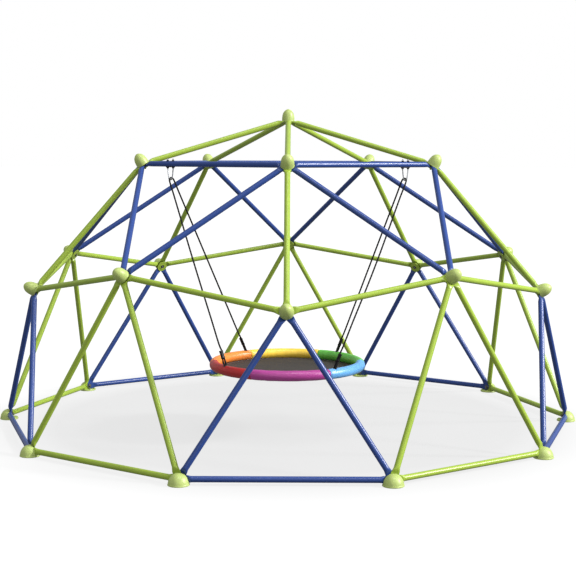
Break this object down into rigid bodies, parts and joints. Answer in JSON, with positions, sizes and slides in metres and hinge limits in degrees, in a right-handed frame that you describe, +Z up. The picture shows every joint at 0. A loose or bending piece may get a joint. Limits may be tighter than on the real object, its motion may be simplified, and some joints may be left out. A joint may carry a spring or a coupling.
{
  "type": "dome climber",
  "caption": "Geodesic dome climber of green and blue steel tubes on moulded hubs and feet, with a round padded saucer swing hung inside on black ropes.",
  "frame": {"origin": "on the ground, straight under the top hub, at the middle of the ring of feet", "axes": "+Z up; +X to the right seen from the front, through two feet; the swing hangs towards -Y, which is the front"},
  "size_m": [3.6722, 3.5002, 1.9697],
  "materials": {
    "green_powder_coat": "powder coat, semi-gloss",
    "blue_powder_coat": "powder coat, semi-gloss",
    "lime_plastic": "moulded, satin",
    "zinc_steel": "zinc plated",
    "black_steel": "black oxide",
    "black_rope": "braided rope",
    "padded_fabric": "coated polyester sleeve over foam, six colours",
    "seat_fabric": "woven, dark grey"
  },
  "bodies": {
    "root": {"green_rib_1": "green_powder_coat", "blue_crown_truss_1": "blue_powder_coat", "green_waist_truss_1": "green_powder_coat", "blue_leg_frame_1": "blue_powder_coat", "green_leg_frame_1": "green_powder_coat", "green_rib_2": "green_powder_coat", "blue_crown_truss_2": "blue_powder_coat", "green_waist_truss_2": "green_powder_coat", "blue_leg_frame_2": "blue_powder_coat", "green_leg_frame_2": "green_powder_coat", "green_rib_3": "green_powder_coat", "blue_crown_truss_3": "blue_powder_coat", "green_waist_truss_3": "green_powder_coat", "blue_leg_frame_3": "blue_powder_coat", "green_leg_frame_3": "green_powder_coat", "green_rib_4": "green_powder_coat", "blue_crown_truss_4": "blue_powder_coat", "green_waist_truss_4": "green_powder_coat", "blue_leg_frame_4": "blue_powder_coat", "green_leg_frame_4": "green_powder_coat", "green_rib_5": "green_powder_coat", "blue_crown_truss_5": "blue_powder_coat", "green_waist_truss_5": "green_powder_coat", "blue_leg_frame_5": "blue_powder_coat", "green_leg_frame_5": "green_powder_coat", "hub_top": "lime_plastic", "hub_crown_1": "lime_plastic", "hub_waist_low_1": "lime_plastic", "hub_waist_high_1": "lime_plastic", "hub_crown_2": "lime_plastic", "hub_waist_low_2": "lime_plastic", "hub_waist_high_2": "lime_plastic", "hub_crown_3": "lime_plastic", "hub_waist_low_3": "lime_plastic", "hub_waist_high_3": "lime_plastic", "hub_crown_4": "lime_plastic", "hub_waist_low_4": "lime_plastic", "hub_waist_high_4": "lime_plastic", "hub_crown_5": "lime_plastic", "hub_waist_low_5": "lime_plastic", "hub_waist_high_5": "lime_plastic", "foot_1": "lime_plastic", "foot_2": "lime_plastic", "foot_3": "lime_plastic", "foot_4": "lime_plastic", "foot_5": "lime_plastic", "foot_6": "lime_plastic", "foot_7": "lime_plastic", "foot_8": "lime_plastic", "foot_9": "lime_plastic", "foot_10": "lime_plastic", "swing_hanger_left": "zinc_steel", "hanger_saddle_left": "black_steel", "swing_hanger_right": "zinc_steel", "hanger_saddle_right": "black_steel"},
    "swing": {"rope_left": "black_rope", "rope_right": "black_rope", "seat_ring": "zinc_steel", "seat_sleeve": "padded_fabric", "seat_mat": "seat_fabric"}
  },
  "joints": [
    {"name": "swing_hinge", "type": "hinge", "parent": "root", "child": "swing", "pos_m": [0, -0.4171, 1.5356], "axis": [1, 0, 0], "range_deg": [-30, 30]}
  ]
}
